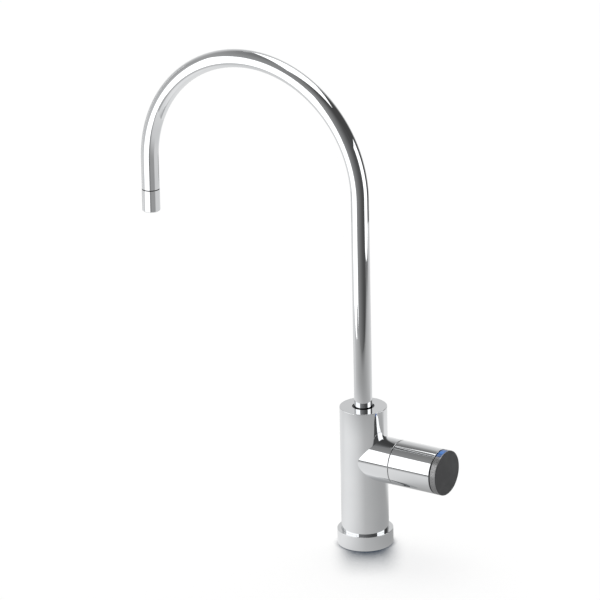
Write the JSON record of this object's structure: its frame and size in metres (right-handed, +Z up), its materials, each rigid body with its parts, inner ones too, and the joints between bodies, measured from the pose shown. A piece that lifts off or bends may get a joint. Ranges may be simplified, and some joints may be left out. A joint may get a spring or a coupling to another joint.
{
  "type": "water purifier tap",
  "caption": "Deck-mounted drinking-water tap with a swivelling gooseneck tube spout, an upright round body and a quarter-turn side knob whose dark end cap has a blue light window.",
  "frame": {"origin": "centre of the rubber seat under the base, on the worktop's surface", "axes": "+Z up along the body's axis, +X along the knob's axis towards the end cap, spout at rest reaches along -X"},
  "size_m": [0.2351, 0.0372, 0.3293],
  "materials": {
    "chrome": "polished chrome plating",
    "rubber": "black sealing rubber",
    "slip_plastic": "natural acetal",
    "brass": "turned brass",
    "ceramic": "lapped alumina",
    "steel": "bright steel",
    "hub_plastic": "moulded dark plastic",
    "graphite": "satin graphite grey plastic",
    "window": "clear blue light window",
    "board": "green solder mask",
    "led": "clear lamp body"
  },
  "bodies": {
    "body": {"tap_body": "chrome", "base_ring": "chrome", "base_gasket": "rubber", "spout_thrust_washer": "slip_plastic", "cartridge_housing": "brass", "cartridge_seal": "rubber", "seat_seal": "rubber", "fixed_disc": "ceramic"},
    "spout": {"spout_tube": "chrome", "spout_stem": "brass", "spout_lower_seal": "rubber", "spout_upper_seal": "rubber", "spout_snap_ring": "slip_plastic", "nozzle_body": "chrome", "nozzle_seal": "rubber", "flow_straightener": "slip_plastic"},
    "knob": {"moving_disc": "ceramic", "spindle": "brass", "spindle_inner_seal": "rubber", "spindle_outer_seal": "rubber", "friction_washer": "slip_plastic", "spindle_clip": "steel", "knob_sleeve": "chrome", "knob_hub": "hub_plastic", "knob_screw": "steel", "cap_gasket": "rubber", "end_cap": "graphite", "indicator_window": "window", "circuit_board": "board", "indicator_led": "led", "coin_cell": "steel", "cell_clip": "steel"}
  },
  "joints": [
    {"name": "spout_swivel", "type": "hinge", "parent": "body", "child": "spout", "pos_m": [0, 0, 0.085], "axis": [0, 0, 1], "continuous": true},
    {"name": "knob_turn", "type": "hinge", "parent": "body", "child": "knob", "pos_m": [0.045, 0, 0.062], "axis": [1, 0, 0], "range_deg": [0, 90]}
  ]
}
